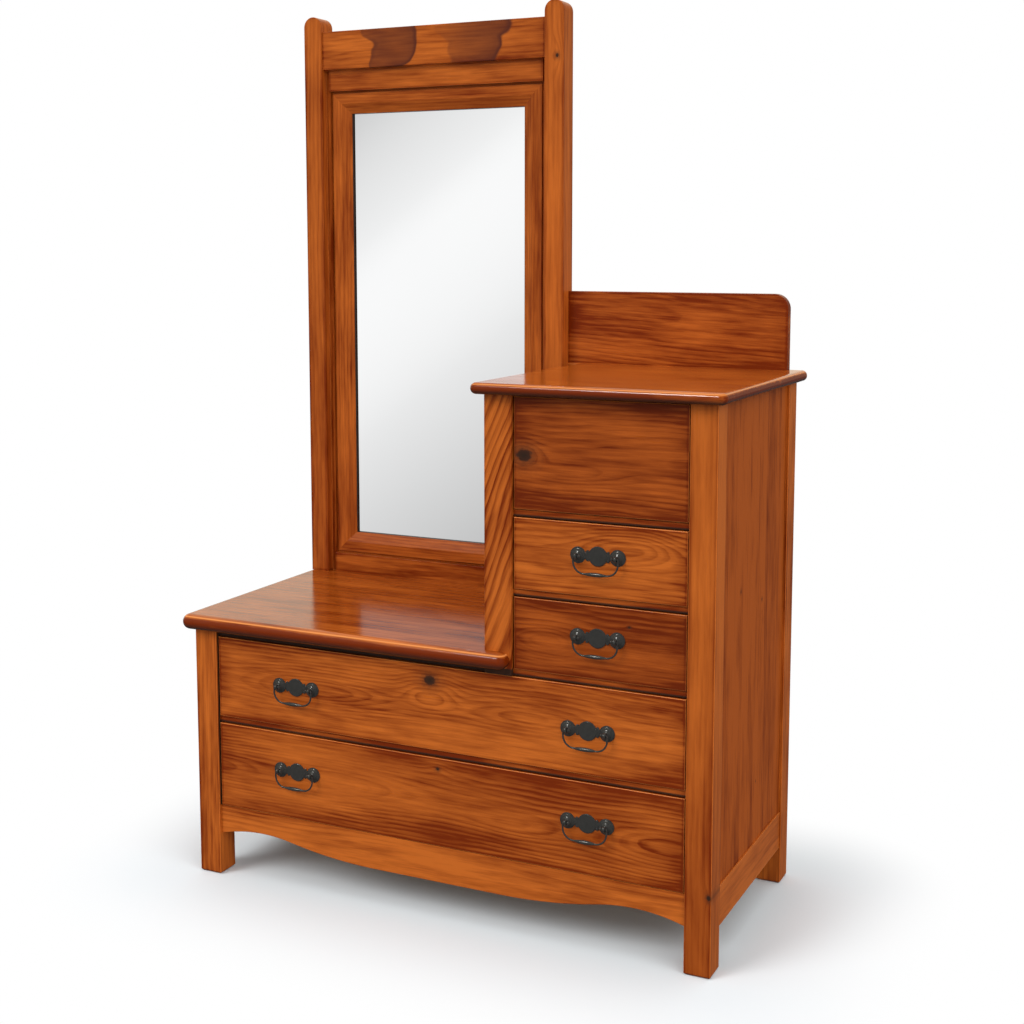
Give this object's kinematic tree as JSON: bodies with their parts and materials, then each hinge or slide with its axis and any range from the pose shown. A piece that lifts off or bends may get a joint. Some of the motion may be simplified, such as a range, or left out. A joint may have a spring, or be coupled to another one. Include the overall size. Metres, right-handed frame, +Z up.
{
  "type": "dresser with mirror",
  "caption": "Combination dresser: low chest of wide drawers, a tower of small drawers and a hat box beside it, and a tall fixed mirror on the low top.",
  "frame": {"origin": "on the floor, at the middle of the plan of the whole dresser", "axes": "+Z up, the drawers open towards -Y, the tower stands at +X"},
  "size_m": [1.14, 0.525, 1.785],
  "materials": {
    "carcase_wood": "satin lacquered honey to red-brown pine, straight grain along each piece",
    "front_wood": "the same timber in figured flat-sawn boards, with knots, gloss lacquer",
    "top_wood": "the same timber, wiped to a high gloss",
    "inner_wood": "unstained pale softwood inside the carcase and drawers",
    "plywood": "thin unfinished plywood",
    "mirror_glass": "clear glass silvered behind",
    "black_pull": "blackened cast metal, satin on the plate and glossy on the bail",
    "steel": "plain zinc-plated steel",
    "brass": "plain turned brass",
    "latch_plastic": "brown moulded plastic"
  },
  "bodies": {
    "carcase": {"backing_clips": "steel", "crest_rail": "front_wood", "door_latch": "latch_plastic", "door_pivot_bushes": "brass", "drawer_guides": "inner_wood", "drawer_web_frames": "inner_wood", "front_apron": "carcase_wood", "front_drawer_rails": "carcase_wood", "front_left_leg": "carcase_wood", "front_right_leg": "carcase_wood", "hat_box_floor": "inner_wood", "left_mirror_post": "carcase_wood", "left_side_panel": "carcase_wood", "low_top": "top_wood", "lower_back_panel": "plywood", "lower_backboard": "carcase_wood", "mirror_backing": "plywood", "mirror_bottom_rail": "carcase_wood", "mirror_glass": "mirror_glass", "mirror_post_screws": "steel", "mirror_stiles": "carcase_wood", "mirror_top_rail": "carcase_wood", "moulding_rails": "carcase_wood", "moulding_stiles": "carcase_wood", "rear_left_leg": "carcase_wood", "rear_right_leg": "carcase_wood", "right_mirror_post": "carcase_wood", "right_side_panel": "carcase_wood", "side_rails": "carcase_wood", "tower_back_panel": "plywood", "tower_front_post": "carcase_wood", "tower_side_panel": "carcase_wood", "upper_backboard": "carcase_wood", "upper_top": "top_wood"},
    "bottom_drawer": {"bottom_drawer_front": "front_wood", "bottom_drawer_box": "inner_wood", "bottom_drawer_bottom": "plywood", "bottom_drawer_pulls": "black_pull"},
    "bottom_drawer_left_bail": {"bottom_drawer_left_bail": "black_pull"},
    "bottom_drawer_right_bail": {"bottom_drawer_right_bail": "black_pull"},
    "middle_drawer": {"middle_drawer_front": "front_wood", "middle_drawer_box": "inner_wood", "middle_drawer_bottom": "plywood", "middle_drawer_pulls": "black_pull"},
    "middle_drawer_left_bail": {"middle_drawer_left_bail": "black_pull"},
    "middle_drawer_right_bail": {"middle_drawer_right_bail": "black_pull"},
    "lower_small_drawer": {"lower_small_drawer_front": "front_wood", "lower_small_drawer_box": "inner_wood", "lower_small_drawer_bottom": "plywood", "lower_small_drawer_pulls": "black_pull"},
    "lower_small_drawer_bail": {"lower_small_drawer_bail": "black_pull"},
    "upper_small_drawer": {"upper_small_drawer_front": "front_wood", "upper_small_drawer_box": "inner_wood", "upper_small_drawer_bottom": "plywood", "upper_small_drawer_pulls": "black_pull"},
    "upper_small_drawer_bail": {"upper_small_drawer_bail": "black_pull"},
    "door": {"hat_box_door": "front_wood", "door_pivot_pins": "steel", "door_striker": "steel"},
    "plunger": {"latch_plunger": "latch_plastic"}
  },
  "joints": [
    {"name": "bottom_drawer_slide", "type": "slide", "parent": "carcase", "child": "bottom_drawer", "axis": [0, -1, 0], "range_m": [0, 0.33]},
    {"name": "bottom_drawer_left_bail_lift", "type": "hinge", "parent": "bottom_drawer", "child": "bottom_drawer_left_bail", "pos_m": [-0.312, -0.2455, 0.245], "axis": [-1, 0, 0], "range_deg": [0, 85]},
    {"name": "bottom_drawer_right_bail_lift", "type": "hinge", "parent": "bottom_drawer", "child": "bottom_drawer_right_bail", "pos_m": [0.312, -0.2455, 0.245], "axis": [-1, 0, 0], "range_deg": [0, 85]},
    {"name": "middle_drawer_slide", "type": "slide", "parent": "carcase", "child": "middle_drawer", "axis": [0, -1, 0], "range_m": [0, 0.33]},
    {"name": "middle_drawer_left_bail_lift", "type": "hinge", "parent": "middle_drawer", "child": "middle_drawer_left_bail", "pos_m": [-0.312, -0.2455, 0.418], "axis": [-1, 0, 0], "range_deg": [0, 85]},
    {"name": "middle_drawer_right_bail_lift", "type": "hinge", "parent": "middle_drawer", "child": "middle_drawer_right_bail", "pos_m": [0.312, -0.2455, 0.418], "axis": [-1, 0, 0], "range_deg": [0, 85]},
    {"name": "lower_small_drawer_slide", "type": "slide", "parent": "carcase", "child": "lower_small_drawer", "axis": [0, -1, 0], "range_m": [0, 0.31]},
    {"name": "lower_small_drawer_bail_lift", "type": "hinge", "parent": "lower_small_drawer", "child": "lower_small_drawer_bail", "pos_m": [0.33, -0.2455, 0.5905], "axis": [-1, 0, 0], "range_deg": [0, 85]},
    {"name": "upper_small_drawer_slide", "type": "slide", "parent": "carcase", "child": "upper_small_drawer", "axis": [0, -1, 0], "range_m": [0, 0.31]},
    {"name": "upper_small_drawer_bail_lift", "type": "hinge", "parent": "upper_small_drawer", "child": "upper_small_drawer_bail", "pos_m": [0.33, -0.2455, 0.739], "axis": [-1, 0, 0], "range_deg": [0, 85]},
    {"name": "door_swing", "type": "hinge", "parent": "carcase", "child": "door", "pos_m": [0.477, -0.2235, 0.9], "axis": [0, 0, 1], "range_deg": [0, 100]},
    {"name": "plunger_press", "type": "slide", "parent": "carcase", "child": "plunger", "axis": [0, 1, 0], "range_m": [0, 0.003], "stiffness_N_per_m": 300}
  ]
}
